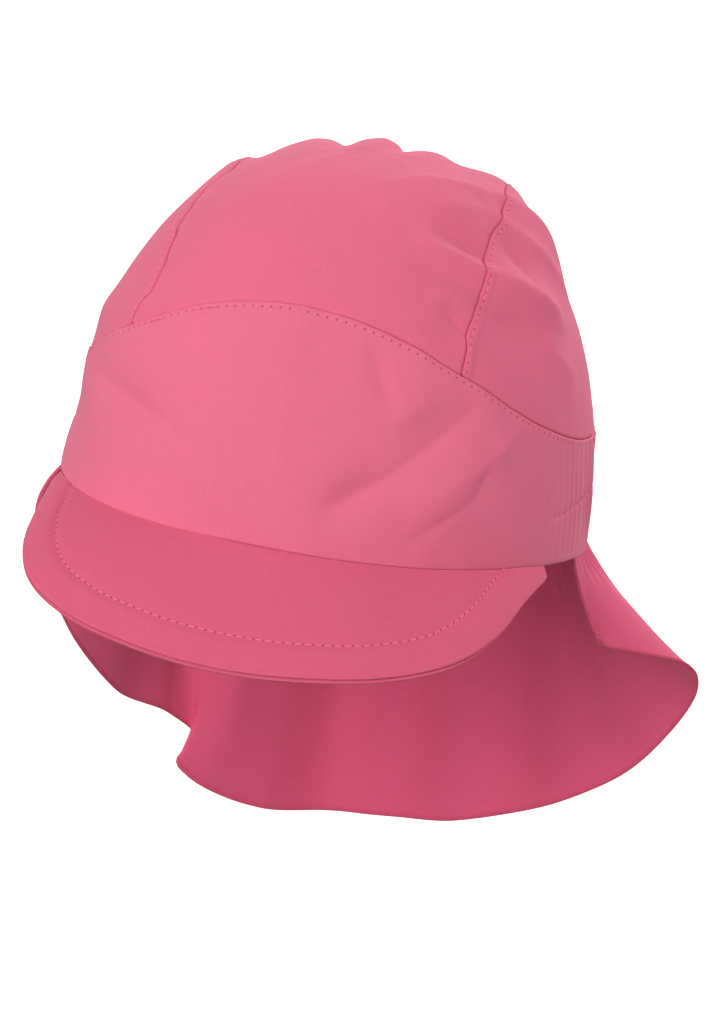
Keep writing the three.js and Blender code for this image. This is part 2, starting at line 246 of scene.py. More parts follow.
# Creases with a sharp crest: sideways and over angles of both ends, sideways bow of the line,
# half width above and below the line (right and left of it where it runs down), rise off the form
CREASE_ROWS = [
    (3, 75, 23, 93.5, 0, 4, 6, 1.6),
    (18.5, 89.6, 33, 108, 0, 4, 5, 1.7),
    (11, 73, 23, 87.4, 0, 3.5, 5, 1.1),
    (20, 82.6, 39, 101, -1, 5, 4, 2.0),
    (12, 66, 26, 70.2, 0, 3, 6, 1.8),
    (21, 68.2, 41, 86, -2, 4, 6, 2.1),
    (14, 70.3, 26, 73.6, 0, 3, 2.5, -1.5),
    (13, 61.6, 28, 65.4, 0, 5, 3.5, -1.5),
    (20, 58, 26.5, 55.4, 0, 4, 4, -1.4),
    (24.5, 61.8, 42, 72.2, 0, 6, 5, -2.0),
    (22, 80.2, 33, 79.4, 0, 4, 4, -1.3),
    (35, 67, 52, 84, 0, 5, 6, 1.2),
    (-50, 48.8, -8.5, 21.6, 0, 1.6, 3, -0.9),
    (-43, 38, -14, 22.5, 0, 4, 3, -0.5),
    (0, 47, 2.5, 16, 0, 4, 4, 0.4),
    (3, 44.5, 7.5, 36, 0, 2, 2, -0.5),
    (11, 47, 18.6, 35.6, 0, 2.2, 3, -0.8),
    (14, 46.5, 22, 35.6, 0, 4, 2.5, 0.8),
    (9, 16, 32.5, 46, -3, 1.6, 5, -1.1),
    (22, 20.5, 43.5, 41.5, -1, 6, 6, 1.0),
    (36, 30.5, 43.2, 49.5, 0, 3, 2.5, 1.0),
    (26, 13.5, 39.5, 29, 0, 3, 4, -1.1),
    (38, 25, 39.5, 41, 0, 3, 3, -1.0),
]
CREST = 0.5

# Gathers drawn in by the elastic: pitch in degrees, depth, and the height and reach of the elastic
GATHER_PITCH = 3.4
GATHER_DEPTH = 0.75
ELASTIC_HEIGHT = 21.0
ELASTIC_REACH = 12.0
ELASTIC_PULL = 1.2
CASING_START_ANGLE = 67.0

# Sewing: stitch pitch and length, thread thickness, distance of a row from its edge
STITCH_PITCH = 2.6
STITCH_LENGTH = 1.9
THREAD = 0.17
BAND_ROW_INSET = 1.5
CROWN_ROW_INSET = 1.7
PEAK_ROW_INSET = 10.0
OVERLOCK_PITCH = 0.85
OVERLOCK_THREAD = 0.17

# Needle holes: radius in millimetres, how much painted shade darkens them, and a place that no row reaches
HOLE_RADIUS = 0.3
HOLE_PAINTED_SHADE = 0.24
FAR_FROM_SEWING = 50.5

# Lengths and widths that set the number of steps across a piece, in millimetres
CENTER_WIDTH = 92.0
CENTER_LENGTH = 235.0
SIDE_LENGTH = 165.0
SIDE_HEIGHT = 62.0
FRONT_BAND_LENGTH = 285.0
FRONT_BAND_HEIGHT = 58.0
BACK_BAND_LENGTH = 235.0
BACK_BAND_HEIGHT = 34.0
PEAK_DEPTH = 42.0
FLAP_WIDTH = 420.0
FLAP_DROP_LENGTH = 125.0

# Surface steps in millimetres
FINE = 1.1
EDGE_STEPS = np.array([0.0, 0.15, 0.35, 0.6, 0.95, 1.5])

# Camera, as read from the photograph: angles in degrees, distance in millimetres, millimetres per pixel
IMAGE_SIZE = (709, 1024)
VIEW_AZIMUTH = 11.0
VIEW_ELEVATION = 16.0
VIEW_ROLL = 8.0
VIEW_DISTANCE = 1100.0
MM_PER_PIXEL = 0.2854
RIM_CENTRE_PIXEL = (323.0, 517.0)
SENSOR = 36.0

# Cotton: yarn pitch in millimetres, and the screen colour of each cloth and thread. The peak's colour is
# darkened, and the flap's deepened, with painted shade.
YARN_PITCH = 0.42
CLOTH_COLOURS = {
    "crown_cotton": "de7892",
    "band_cotton": "df7c95",
    # cotton colour of the peak, darkened with painted shade
    "peak_cotton": "d66d87",
    # cotton colour of the flap, deepened with painted shade
    "flap_cotton": "df698a",
}
SEWING_THREAD_COLOUR = "ee8aa3"
EDGE_THREAD_COLOUR = "dc6a87"
THREAD_YARN_PITCH = 0.2

# Studio lights: name, direction from the camera's side in degrees to the right and up, strength
LIGHT_SPREAD = 45.0
LIGHT_ROWS = [
    ("key", -27, 10, 2.35),
    ("front_top", 0, 40, 1.0),
    ("left", -103, 13, 1.1),
    ("right_top", 90, 40, 1.05),
    ("right_rim", 140, 20, 1.5),
    ("back_rim", 180, 40, 1.0),
    ("low_right", 60, -50, 0.7),
]
SKY_STRENGTH = 0.06
VIEW_GAMMA = 0.8

# Pale floor with a wall round it, in metres: below the cap, out from it, and up
FLOOR_DROP = 0.5
FLOOR_RADIUS = 8.0
WALL_HEIGHT = 9.0
FLOOR_GLOW = 0.85


# Tables, noise and blends

def smooth(rows, at):
    """Columns of a table at the given keys, on a smooth curve through its rows."""
    rows = np.asarray(rows, float)
    at = np.asarray(at, float)
    key, values = rows[:, 0], rows[:, 1:]
    span = np.diff(key)
    slope = np.diff(values, axis=0) / span[:, None]
    tangent = np.concatenate([slope[:1], slope[-1:]]).repeat([1, len(key) - 1], axis=0)
    weighted = slope[:-1] * span[1:, None] + slope[1:] * span[:-1, None]
    tangent[1:-1] = weighted / (span[1:] + span[:-1])[:, None]
    i = np.clip(np.searchsorted(key, at, side="right") - 1, 0, len(key) - 2)
    h = span[i][..., None]
    t = ((at - key[i]) / span[i])[..., None]
    start = (2 * t**3 - 3 * t**2 + 1) * values[i] + (t**3 - 2 * t**2 + t) * h * tangent[i]
    end = (3 * t**2 - 2 * t**3) * values[i + 1] + (t**3 - t**2) * h * tangent[i + 1]
    return start + end


def noise(x, y, seed):
    """Smooth random heights from -1 to 1, about one bump to each unit square."""
    x, y = np.broadcast_arrays(np.asarray(x, float), np.asarray(y, float))
    size = 64
    grid = np.random.RandomState(seed).uniform(-1, 1, (size, size))
    column, row = np.floor(x).astype(int), np.floor(y).astype(int)
    fx, fy = x - column, y - row
    fx = fx * fx * (3 - 2 * fx)
    fy = fy * fy * (3 - 2 * fy)

    def corner(right, up):
        return grid[(column + right) % size, (row + up) % size]

    low = corner(0, 0) * (1 - fx) + corner(1, 0) * fx
    high = corner(0, 1) * (1 - fx) + corner(1, 1) * fx
    return low * (1 - fy) + high * fy


def step_up(value, low, high):
    t = np.clip((value - low) / (high - low), 0, 1)
    return t * t * (3 - 2 * t)


def unit(vectors):
    return vectors / np.maximum(np.linalg.norm(vectors, axis=-1, keepdims=True), 1e-12)


def graded(length, step=FINE, both=True):
    """Shares from 0 to 1 along a length, with close steps at its start and, if asked, its end."""
    inner = EDGE_STEPS[-1]
    stop = length - inner if both else length
    count = max(int(round((stop - inner) / step)), 2)
    middle = np.linspace(inner, stop, count + 1)
    tail = (length - EDGE_STEPS[-2::-1]) if both else []
    return np.concatenate([EDGE_STEPS[:-1], middle, tail]) / length


# The head form

def away_from_forehead(angle):
    return np.abs((np.asarray(angle, float) + 180) % 360 - 180)


def rim_height(angle):
    return smooth(BAND_ROWS, away_from_forehead(angle))[..., 0]


def band_top(angle):
    return smooth(BAND_ROWS, away_from_forehead(angle))[..., 1]


def half_length(y):
    return np.where(y < 0, HALF_LENGTH_FRONT, HALF_LENGTH_BACK)


def on_form(direction):
    x, y, z = np.moveaxis(direction, -1, 0)
    plan = np.hypot(x / HALF_WIDTH, y / half_length(y))
    rise = np.maximum(z, 0) / DOME_HEIGHT
    return direction * ((plan**DOME_POWER + rise**DOME_POWER) ** (-1 / DOME_POWER))[..., None]


def form_direction(side, over):
    a, b = np.radians(side), np.radians(over)
    a, b = np.broadcast_arrays(a, b)
    return np.stack([np.sin(a), -np.cos(a) * np.cos(b), np.cos(a) * np.sin(b)], -1)


def on_wall(angle, height):
    angle, height = np.broadcast_arrays(np.radians(angle), np.asarray(height, float))
    x, y = np.sin(angle), -np.cos(angle)
    reach = 1 / np.hypot(x / HALF_WIDTH, y / half_length(y))
    draw = (1 - (np.maximum(height, 0) / DOME_HEIGHT) ** DOME_POWER) ** (1 / DOME_POWER)
    return np.stack([x * reach * draw, y * reach * draw, height], -1)


def form_normal(point):
    x, y, z = np.moveaxis(point, -1, 0)
    length = half_length(y)
    plan = np.maximum(np.hypot(x / HALF_WIDTH, y / length), 1e-9) ** (DOME_POWER - 2)
    rise = np.maximum(z, 0) ** (DOME_POWER - 1) / DOME_HEIGHT**DOME_POWER
    return unit(np.stack([plan * x / HALF_WIDTH**2, plan * y / length**2, rise], -1))


def plan_angle(point):
    return np.degrees(np.arctan2(point[..., 0], -point[..., 1]))


# Relief of the cloth that lies on the form

def fold_rise(point):
    """Lift of the soft folds, each worked out along its own great circle."""
    total = np.zeros(point.shape[:-1])
    for side, over, to_side, to_over, width, rise in FOLD_ROWS:
        start = form_direction(side, over)
        end = form_direction(to_side, to_over)
        across = unit(np.cross(start, end))
        turn = math.acos(float(np.clip(start @ end, -1, 1)))
        along = np.arctan2(point @ np.cross(across, start), point @ start) / turn
        offset = (point @ across) / width
        window = np.where((along > 0) & (along < 1), np.sin(np.pi * np.clip(along, 0, 1)), 0)
        total += rise * window * np.exp(-offset * offset)
    return total


def crease_rise(point):
    """Lift of the sharp creases, steeper on one side of their line than on the other."""
    total = np.zeros(point.shape[:-1])
    for side, over, to_side, to_over, bow, above, below, rise in CREASE_ROWS:
        start = form_direction(side, over)
        end = form_direction(to_side, to_over)
        across = unit(np.cross(start, end))
        turn = math.acos(float(np.clip(start @ end, -1, 1)))
        along = np.arctan2(point @ np.cross(across, start), point @ start) / turn
        window = np.sin(np.pi * np.clip(along, 0, 1)) ** 0.8
        offset = point @ across - bow * window
        width = np.where(offset > 0, above, below)
        total += rise * window * np.exp(-(np.hypot(offset, CREST) - CREST) / width)
    return total


def drape(point):
    """All the relief of the cloth that doesn't depend on its seams."""
    return fold_rise(point) + crease_rise(point) + undulation(point)


def undulation(point):
    """The slight unevenness of cloth that is only held at its seams."""
    angle = plan_angle(point)
    broad = 0.35 * noise(angle / 17 + 20, point[..., 2] / 24 + 5, 3)
    close = 0.10 * noise(angle / 6 + 40, point[..., 2] / 9 + 9, 4)
    return broad + close


def gather_wave(angle):
    return np.cos(2 * np.pi * (angle / GATHER_PITCH + 0.55 * noise(angle / 9, 0.5, 11)))


def gather_rise(angle, height):
    """Lift of the gathers, which begin beside the forehead and deepen towards the back."""
    away = away_from_forehead(angle)
    drawn = 0.30 * step_up(away, 56, 84) + 0.70 * step_up(away, 84, 112)
    depth = GATHER_DEPTH * (0.75 + 0.35 * noise(angle / 4.3, height / 15, 12))
    near = np.exp(-(((height - ELASTIC_HEIGHT) / ELASTIC_REACH) ** 2))
    pull = ELASTIC_PULL * near * step_up(away, 96, 116)
    return drawn * (0.35 + 0.65 * near) * depth * gather_wave(angle) - pull


def rolled(distance, depth, width):
    """Drop of a turned edge at a distance from it."""
    t = np.clip(1 - distance / width, 0, 1)
    return -depth * t * t


def groove(distance, depth, width):
    return -depth * np.exp(-((distance / width) ** 2))


def pucker(run, distance, seed):
    """Small wrinkles drawn up by a seam: run along the seam and distance from it, in millimetres."""
    waves = 0.6 * noise(run / 6.0, distance / 14, seed) + 0.4 * noise(run / 2.9, distance / 8, seed + 1)
    return 0.62 * waves * np.exp(-distance / 7.5)


# Meshes

def flat_place(grid):
    """Place of each grid point on the flat cloth, in metres, from the lengths of the grid's lines."""
    def run(points, axis):
        steps = np.linalg.norm(np.diff(points, axis=axis), axis=-1)
        mean = steps.mean(axis=1 - axis)
        return np.concatenate([[0], np.cumsum(mean)])
    u, v = np.meshgrid(run(grid, 0), run(grid, 1), indexing="ij")
    return np.stack([u, v], -1) * MM


def make_object(name, points, faces, places, sewing=None):
    """A smooth mesh with its place on the flat cloth and, where given, on the sewing rows."""
    mesh = bpy.data.meshes.new(name)
    mesh.from_pydata((points * MM).tolist(), [], faces)
    corners = np.empty(len(mesh.loops), np.int32)
    mesh.loops.foreach_get("vertex_index", corners)
    mesh.uv_layers.new(name="cloth").data.foreach_set("uv", places[corners].ravel())
    if sewing is None:
        sewing = np.full_like(places, FAR_FROM_SEWING)
    mesh.uv_layers.new(name="sewing").data.foreach_set("uv", sewing[corners].ravel())
    mesh.polygons.foreach_set("use_smooth", np.ones(len(mesh.polygons), bool))
    mesh.update()
    made = bpy.data.objects.new(name, mesh)
    bpy.context.scene.collection.objects.link(made)
    return made


def needle_place(run, distance):
    """Place on a sewing row: stitches along it, counted from a needle hole, and millimetres beside it."""
    run = np.broadcast_to(run, distance.shape)
    gap_middle = (STITCH_LENGTH + STITCH_PITCH) / 2
    return np.stack([(run - gap_middle) / STITCH_PITCH, distance], -1)


def cloth_wall(name, outer, inner, sewing=None):
    """A closed wall between two grids of points."""
    columns, rows = outer.shape[:2]
    count = columns * rows
    index = np.arange(count).reshape(columns, rows)
    a, b = index[:-1, :-1], index[1:, :-1]
    c, d = index[1:, 1:], index[:-1, 1:]
    front = np.stack([a, b, c, d], -1).reshape(-1, 4)
    back = np.stack([a, d, c, b], -1).reshape(-1, 4) + count
    ring = np.concatenate([index[:-1, 0], index[-1, :-1], index[:0:-1, -1], index[0, :0:-1]])
    after = np.roll(ring, -1)
    edge = np.stack([after, ring, ring + count, after + count], -1)
    faces = np.concatenate([front, back, edge]).tolist()
    points = np.concatenate([outer.reshape(-1, 3), inner.reshape(-1, 3)])
    places = flat_place(outer).reshape(-1, 2)
    if sewing is not None:
        sewing = np.tile(sewing.reshape(-1, 2), (2, 1))
    return make_object(name, points, faces, np.tile(places, (2, 1)), sewing)


def threads(name, paths, ups, radius, sides=6, flatness=0.75):
    """Short threads along paths of shape (count, points, 3), narrower at their ends."""
    count, rings = paths.shape[:2]
    tangent = unit(np.gradient(paths, axis=1))
    across = unit(np.cross(tangent, ups))
    lift = unit(np.cross(across, tangent))
    taper = 0.5 + 0.5 * np.sin(np.pi * np.linspace(0.06, 0.94, rings)) ** 0.6
    turn = 2 * np.pi * np.arange(sides) / sides
    swing = across[:, :, None] * np.cos(turn)[:, None] + flatness * lift[:, :, None] * np.sin(turn)[:, None]
    points = paths[:, :, None] + radius * taper[None, :, None, None] * swing
    index = np.arange(count * rings * sides).reshape(count, rings, sides)
    near, far = index[:, :-1], index[:, 1:]
    skin = np.stack([near, np.roll(near, -1, 2), np.roll(far, -1, 2), far], -1).reshape(-1, 4)
    caps = np.concatenate([index[:, 0, ::-1], index[:, -1]])
    faces = skin.tolist() + caps.tolist()
    length = np.linalg.norm(paths[:, -1] - paths[:, 0], axis=-1)
    run = np.linspace(0, 1, rings)[None, :, None] * length[:, None, None]
    place_u = np.broadcast_to(run + 3.0 * np.arange(count)[:, None, None], index.shape)
    place_v = np.broadcast_to(radius * turn, index.shape)
    places = np.stack([place_u, place_v], -1).reshape(-1, 2) * MM
    return make_object(name, points.reshape(-1, 3), faces, places)


def run_along(line):
    return np.concatenate([[0], np.cumsum(np.linalg.norm(np.diff(line, axis=0), axis=1))])


def walk(line, ups, at):
    """Points and up directions at distances along a line."""
    run = run_along(line)
    place = np.stack([np.interp(at, run, line[:, k]) for k in range(3)], -1)
    up = np.stack([np.interp(at, run, ups[:, k]) for k in range(3)], -1)
    return place, unit(up)


def stitch_paths(line, ups, lift=0.18, sink=0.12):
    starts = np.arange(STITCH_PITCH, run_along(line)[-1] - STITCH_LENGTH, STITCH_PITCH)
    share = np.linspace(0, 1, 6)
    place, up = walk(line, ups, starts[:, None] + STITCH_LENGTH * share)
    return place + up * (lift * np.sin(np.pi * share) - sink)[None, :, None], up


def row_beside(grid, normal, distance, inset):
    """Line through a grid, one point to each column, where the distance from an edge is the inset."""
    line, ups = [], []
    for points, up, reach in zip(grid, normal, distance):
        order = np.argsort(reach)
        line.append([np.interp(inset, reach[order], points[order, k]) for k in range(3)])
        ups.append([np.interp(inset, reach[order], up[order, k]) for k in range(3)])
    return np.array(line), np.array(ups)


# Crown

def seam_side(name, over):
    """Sideways angle of a crown seam, in straight pieces with the slight wander of sewn cloth."""
    rows, seed = (LEFT_SEAM_ROWS, 21) if name == "left" else (RIGHT_SEAM_ROWS, 22)
    key, side = np.transpose(rows)
    return np.interp(over, key, side) + 0.05 * noise(over / 2.1, 0.5, seed)


def band_meeting(side_at, front):
    """Over angle where lines on the crown meet the band, found by halving."""
    over = side_at(np.array(90.0))
    below = np.full(np.shape(over), 20.0 if front else 160.0)
    above = np.full(np.shape(over), 90.0)
    for _ in range(40):
        middle = (below + above) / 2
        point = on_form(form_direction(side_at(middle), middle))
        low = point[..., 2] < band_top(plan_angle(point)) + SEAM_GAP / 2
        below = np.where(low, middle, below)
        above = np.where(low, above, middle)
    return above


def crown_rise(point, run, to_seam, to_band, seed):
    rise = drape(point) + rolled(to_band, 0.5, 0.9)
    rise += 0.6 * pucker(run, to_seam, seed) + 0.4 * pucker(plan_angle(point) * 1.3, to_band, seed + 2)
    return rise


def crown_center():
    share, run = np.meshgrid(graded(CENTER_WIDTH), graded(CENTER_LENGTH), indexing="ij")

    def side_at(over, at):
        left = SEAM_TRIM - seam_side("left", over)
        right = seam_side("right", over) - SEAM_TRIM
        return left + (right - left) * at

    column = share[:, 0]
    front = band_meeting(lambda over: side_at(over, column), True)[:, None]
    back = band_meeting(lambda over: side_at(over, column), False)[:, None]
    over = front + (back - front) * run
    point = on_form(form_direction(side_at(over, share), over))
    reach = np.radians(1) * np.linalg.norm(point, axis=-1)
    width = (seam_side("left", over) + seam_side("right", over)) * reach
    to_left, to_right = width * share, width * (1 - share)
    to_band = np.minimum(over - front, back - over) * reach
    rise = crown_rise(point, over * reach, to_left, to_band, 31)
    rise += 0.6 * pucker(over * reach, to_right, 41)
    rise += rolled(to_left, 0.5, 1.1) + rolled(to_right, 0.5, 1.1)
    normal = form_normal(point)
    outer = point + normal * rise[..., None]
    inner = point + normal * (drape(point) - CROWN_CLOTH)[..., None]
    return cloth_wall("crown_center_cloth", outer, inner)


def side_grid(name):
    sign = -1 if name == "left" else 1
    share, rise = np.meshgrid(graded(SIDE_LENGTH), graded(SIDE_HEIGHT), indexing="ij")

    def side(over):
        return sign * (seam_side(name, over) + SEAM_TRIM)

    front = band_meeting(side, True)
    back = band_meeting(side, False)
    start = plan_angle(on_form(form_direction(side(front), front)))
    end = plan_angle(on_form(form_direction(side(back), back)))
    tip = 0.5
    angle = start + sign * tip + (end - start - 2 * sign * tip) * share
    over = front + tip + (back - front - 2 * tip) * share
    low = unit(on_wall(angle, band_top(angle) + SEAM_GAP / 2))
    high = form_direction(side(over), over)
    point = on_form(unit(low + (high - low) * rise[..., None]))
    height = np.linalg.norm(on_form(high) - on_form(low), axis=-1) * 1.06
    return point, over, height * rise, height * (1 - rise)


def crown_side(name):
    point, over, to_band, to_seam = side_grid(name)
    reach = np.radians(1) * np.linalg.norm(point, axis=-1)
    seed = 31 if name == "left" else 41
    lift = crown_rise(point, over * reach, to_seam, to_band, seed)
    lift += SEAM_ALLOWANCE_RISE * (1 - step_up(to_seam, 3, 6))
    lift += groove(to_seam - CROWN_ROW_INSET, 0.15, 0.7)
    normal = form_normal(point)
    outer = point + normal * (lift + rolled(to_seam, 0.6, 0.5))[..., None]
    inner = point + normal * (drape(point) - CROWN_CLOTH)[..., None]
    line, ups = row_beside(point + normal * lift[..., None], normal, to_seam, CROWN_ROW_INSET)
    sewing = needle_place(run_along(line)[:, None], to_seam - CROWN_ROW_INSET)
    if name == "left":
        outer, inner, sewing = outer[:, ::-1], inner[:, ::-1], sewing[:, ::-1]
    return cloth_wall("crown_" + name + "_cloth", outer, inner, sewing), stitch_paths(line, ups)


# Bands

def band_surface(angle, height):
    """Outer face of the band at a plan angle and height, and the form's normal there."""
    point = on_wall(angle, height)
    to_top = (band_top(angle) - height) * 1.12
    rise = drape(point) + gather_rise(angle, height) + BAND_PROUD * (1 - step_up(to_top, 0, 8))
    rise += groove(to_top - BAND_ROW_INSET, 0.15, 0.7) + 0.7 * pucker(angle * 1.3, to_top, 51)
    casing = step_up(away_from_forehead(angle), CASING_START_ANGLE - 1, CASING_START_ANGLE + 1)
    rise += casing * groove(height - ELASTIC_HEIGHT, 0.35, 0.8)
    return point, form_normal(point), rise


def band_rows():
    """Sewing rows as plan angles and heights: below the upper edge, and along the elastic's casing."""
    angles = np.linspace(0, 360, 900)
    casing = np.linspace(CASING_START_ANGLE, 360 - CASING_START_ANGLE, 700)
    return [
        (angles, band_top(angles) - BAND_ROW_INSET / 1.12),
        (casing, np.full_like(casing, ELASTIC_HEIGHT)),
    ]


def band_sewing(angle, height):
    """Place of each point on the nearer of the two sewing rows."""
    nearest = np.full(angle.shape + (2,), FAR_FROM_SEWING)
    for angles, heights in band_rows():
        point, normal, rise = band_surface(angles, heights)
        run = np.interp(angle % 360, angles, run_along(point + normal * rise[:, None]))
        beside = height - np.interp(angle % 360, angles, heights)
        reached = (angle % 360 >= angles[0]) & (angle % 360 <= angles[-1])
        closer = reached & (np.abs(beside) < np.abs(nearest[..., 1]))
        nearest = np.where(closer[..., None], needle_place(run, beside), nearest)
    return nearest


def band(name, start, end, length, across):
    angles = start + (end - start) * graded(length, 0.9)
    angle, share = np.meshgrid(angles, graded(across), indexing="ij")
    low = rim_height(angle)
    high = band_top(angle) - SEAM_GAP / 2
    height = low + (high - low) * share
    point, normal, rise = band_surface(angle, height)
    inside = rise - BAND_PROUD - CROWN_CLOTH
    rise = rise + rolled(high - height, 0.5, 0.5) + rolled(height - low, 0.5, 0.7)
    outer = point + normal * rise[..., None]
    return cloth_wall(name, outer, point + normal * inside[..., None], band_sewing(angle, height))


def band_stitches():
    paths, ups = [], []
    for angle, height in band_rows():
        point, normal, rise = band_surface(angle, height)
        path, up = stitch_paths(point + normal * rise[:, None], normal)
        paths.append(path)
        ups.append(up)
    return np.concatenate(paths), np.concatenate(ups)


# Peak

def peak_outline(share):
    place = smooth(PEAK_ROWS, np.abs(share))
    place[..., 0] *= np.sign(share)
    return place


def peak_surface(share, v, overhang=0.0):
    angle = share * PEAK_END_ANGLE
    rim = on_wall(angle, rim_height(angle) - PEAK_DROP)
    rim = rim - form_normal(rim) * PEAK_TUCK
    edge = peak_outline(share)
    length = np.linalg.norm(edge - rim, axis=-1)
    edge = edge + unit(edge - rim) * overhang
    belly = PEAK_BELLY_SHARE * length * 4 * v * (1 - v)
    point = rim + (edge - rim) * v[..., None]
    point[..., 2] += belly
    return point


def grid_normals(grid):
    return unit(np.cross(np.gradient(grid, axis=0), np.gradient(grid, axis=1)))


def peak_shares():
    """Shares from end to end of the peak, at even steps along its outline."""
    fine = np.linspace(-1, 1, 2001)
    run = run_along(peak_outline(fine))
    return np.interp(run[-1] * graded(run[-1], 0.9), run, fine)


def peak_grid(overhang=0.0):
    share, across = np.meshgrid(peak_shares(), graded(PEAK_DEPTH, 1.0), indexing="ij")
    grid = peak_surface(share, 1 - across, overhang)
    outline = peak_outline(np.linspace(-1, 1, 400))
    distance = np.full(grid.shape[:2], 1e9)
    for spot in outline:
        distance = np.minimum(distance, np.linalg.norm(grid - spot, axis=-1))
    return grid, grid_normals(grid), distance


def peak_layers():
    grid, normal, to_edge = peak_grid()
    wide = step_up(to_edge.max(axis=1), 4, 14)[:, None]
    lip = PEAK_LIP * wide * (1 - step_up(to_edge, 0.2, 2.2))
    ease = 0.18 * noise(grid[..., 0] / 14 + 9, grid[..., 1] / 14 + 9, 61)
    channel = 0.4 * step_up(to_edge, 0, 3) * (1 - step_up(to_edge, PEAK_ROW_INSET - 3, PEAK_ROW_INSET))
    relief = ease + channel + groove(to_edge - PEAK_ROW_INSET, 0.3, 0.9) + rolled(to_edge, 0.4, 0.8)
    under = PEAK_LAYER_GAP / 2 + lip
    outer = grid + normal * (under + PEAK_CLOTH + wide * relief)[..., None]
    inner = grid + normal * under[..., None]
    kept = to_edge.max(axis=1) > PEAK_ROW_INSET
    reach = np.maximum.accumulate(to_edge, axis=1)
    line, ups = row_beside(outer, normal, reach, PEAK_ROW_INSET)
    sewing = needle_place(run_along(line)[:, None], to_edge - PEAK_ROW_INSET)
    sewing = np.where(kept[:, None, None], sewing, FAR_FROM_SEWING)
    upper = cloth_wall("peak_top_cloth", outer, inner, sewing)
    grid, normal, to_edge = peak_grid(overhang=PEAK_OVERHANG)
    low = -PEAK_LAYER_GAP / 2
    outer = grid + normal * low
    inner = grid + normal * (low - PEAK_CLOTH - rolled(to_edge, 0.4, 1.0))[..., None]
    lower = cloth_wall("peak_under_cloth", outer, inner)
    path, up = stitch_paths(line, ups)
    sewn = np.interp(path[:, 0, 0], line[:, 0], kept) > 0.99
    return upper, lower, (path[sewn], up[sewn])


# Neck flap

def flap_surface(angle, v):
    rim = on_wall(angle, rim_height(angle) + FLAP_RISE)
    rim = rim - form_normal(rim) * FLAP_TUCK
    hem = smooth(HEM_ROWS, angle)
    turn = np.radians(angle)
    outward = np.stack([np.sin(turn), -np.cos(turn), np.zeros_like(turn)], -1)
    swing = np.zeros_like(angle)
    for at, width, depth in FLAP_FOLD_ROWS:
        swing += depth * np.exp(-(((angle - at) / width) ** 2))
    drawn = step_up(away_from_forehead(angle), 84, 100)
    ripple = 0.6 * drawn * gather_wave(angle)
    ripple *= (0.3 + 0.7 * step_up(v, 0, 0.06)) * (1 - step_up(v, 0.05, 0.42))
    soft = 0.8 * noise(angle / 11, v * 1.6, 71) * step_up(v, 0, 0.35)
    soft += 0.5 * noise(angle / 4.5, v * 3, 72) * (1 - step_up(v, 0.2, 0.9))
    depth = swing * np.sin(np.pi * FLAP_FOLD_REACH * v) ** 2
    bow = smooth(FLAP_BOW_ROWS, angle)[..., 0] * 4 * v * (1 - v)
    turn_back = smooth(HEM_TURN_ROWS, np.clip(angle, HEM_TURN_ROWS[0][0], HEM_TURN_ROWS[-1][0]))
    point = rim + (hem - rim) * v[..., None] + turn_back * (v**HEM_TURN_OPENING)[..., None]
    return point + outward * (depth + bow + ripple + drawn * soft)[..., None]


def flap_grid():
    shares = graded(FLAP_WIDTH, 1.35)
    angles = FLAP_START_ANGLE + (360 - 2 * FLAP_START_ANGLE) * shares
    angle, down = np.meshgrid(angles, graded(FLAP_DROP_LENGTH, 1.4, both=False), indexing="ij")
    return flap_surface(angle, 1 - down)


def edge_distance(grid):
    """Distance of each grid point from the flap's free edges, along the grid's lines."""
    def run(points, axis):
        steps = np.linalg.norm(np.diff(points, axis=axis), axis=-1)
        return np.concatenate([np.zeros_like(np.take(steps, [0], axis)), np.cumsum(steps, axis)], axis)
    from_start = run(grid, 0)
    from_end = run(grid[::-1], 0)[::-1]
    return np.minimum(np.minimum(from_start, from_end), run(grid, 1))


def flap_half_thickness(distance):
    return FLAP_HALF_CLOTH + 0.15 * np.exp(-(((distance - 0.9) / 0.7) ** 2))


def neck_flap():
    grid = flap_grid()
    normal = grid_normals(grid)
    half = flap_half_thickness(edge_distance(grid))[..., None]
    return cloth_wall("neck_flap_cloth", grid + normal * half, grid - normal * half)


def flap_edge():
    """The free edge from rim to rim, with the normals and the directions into the cloth."""
    grid = flap_grid()
    normal = grid_normals(grid)
    inset = 6
    start = grid[0, ::-1][2:-1], normal[0, ::-1][2:-1], (grid[inset, ::-1] - grid[0, ::-1])[2:-1]
    hem = grid[:, 0], normal[:, 0], grid[:, inset] - grid[:, 0]
    end = grid[-1, 1:-2], normal[-1, 1:-2], (grid[-1 - inset] - grid[-1])[1:-2]
    line, ups, inward = (np.concatenate(part) for part in zip(start, hem, end))
    return line, ups, unit(inward)


def overlock():
    """Threads that wrap the flap's free edge, slanting from one face to the other."""
    line, ups, inward = flap_edge()
    starts = np.arange(0.5, run_along(line)[-1] - OVERLOCK_PITCH, OVERLOCK_PITCH)
    controls = [(1.7, 0.42, 0.0), (1.0, 0.60, 0.2), (0.0, 0.55, 0.4), (-0.25, 0.0, 0.5)]
    controls += [(0.0, -0.55, 0.6), (1.0, -0.60, 0.8), (1.7, -0.42, 1.0)]
    path, path_up = [], []
    for depth, lift, lead in controls:
        at = starts + lead * OVERLOCK_PITCH
        spot, up = walk(line, ups, at)
        into = walk(line, inward, at)[1]
        path.append(spot + into * depth + up * lift)
        path_up.append(unit(up * lift - into * 0.4))
    return np.stack(path, 1), np.stack(path_up, 1)


# Cotton

def linear(colour):
    """Scene colour of a screen colour given as six hex digits."""
    values = [int(colour[k:k + 2], 16) / 255 for k in (0, 2, 4)]
    return [v / 12.92 if v <= 0.04045 else ((v + 0.055) / 1.055) ** 2.4 for v in values]


